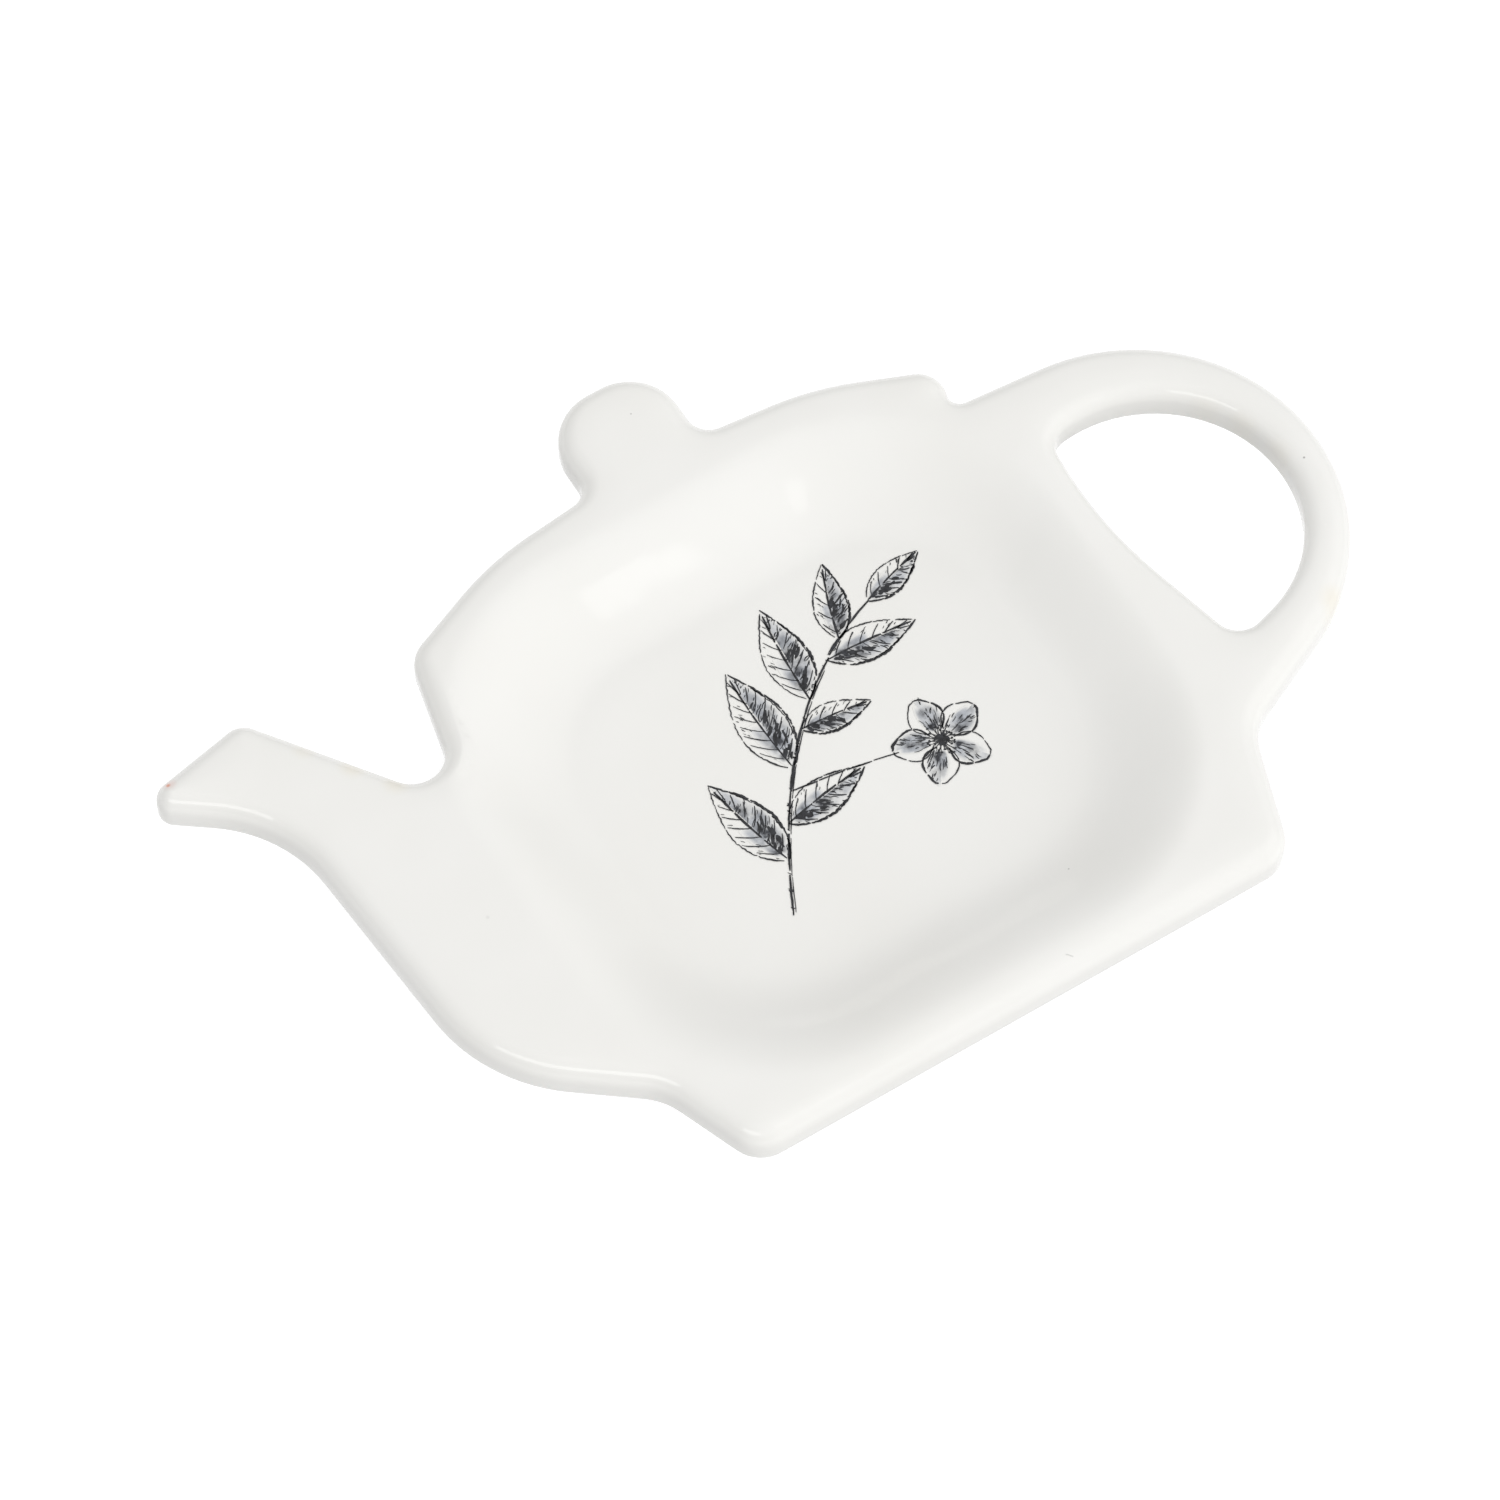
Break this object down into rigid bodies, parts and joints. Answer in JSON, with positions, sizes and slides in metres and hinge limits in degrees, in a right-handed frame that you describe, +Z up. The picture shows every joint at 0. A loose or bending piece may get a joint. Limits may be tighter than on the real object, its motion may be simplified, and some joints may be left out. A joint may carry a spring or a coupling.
{
  "type": "tea bag rest",
  "caption": "Teapot-shaped glazed ceramic dish for resting a used tea bag, with a dished printed floor, spout, lid knob and looped handle.",
  "frame": {"origin": "middle of the footprint on the table, under the foot ring", "axes": "+X from the spout towards the handle, +Y from the straight base edge towards the knob, +Z up off the table"},
  "size_m": [0.1246, 0.0842, 0.0106],
  "materials": {
    "fired_clay": "fired white earthenware under the glaze",
    "bare_clay": "unglazed, wiped and lightly ground foot",
    "white_glaze": "glossy off-white glaze, slightly thin and warm at the edges",
    "black_ink": "fired-on black print, glossy",
    "grey_ink": "fired-on grey wash print, glossy"
  },
  "bodies": {
    "root": {"clay_body": "fired_clay", "foot_ring": "bare_clay", "glaze_coat": "white_glaze", "print_line_ink": "black_ink", "print_grey_wash": "grey_ink"}
  },
  "joints": []
}
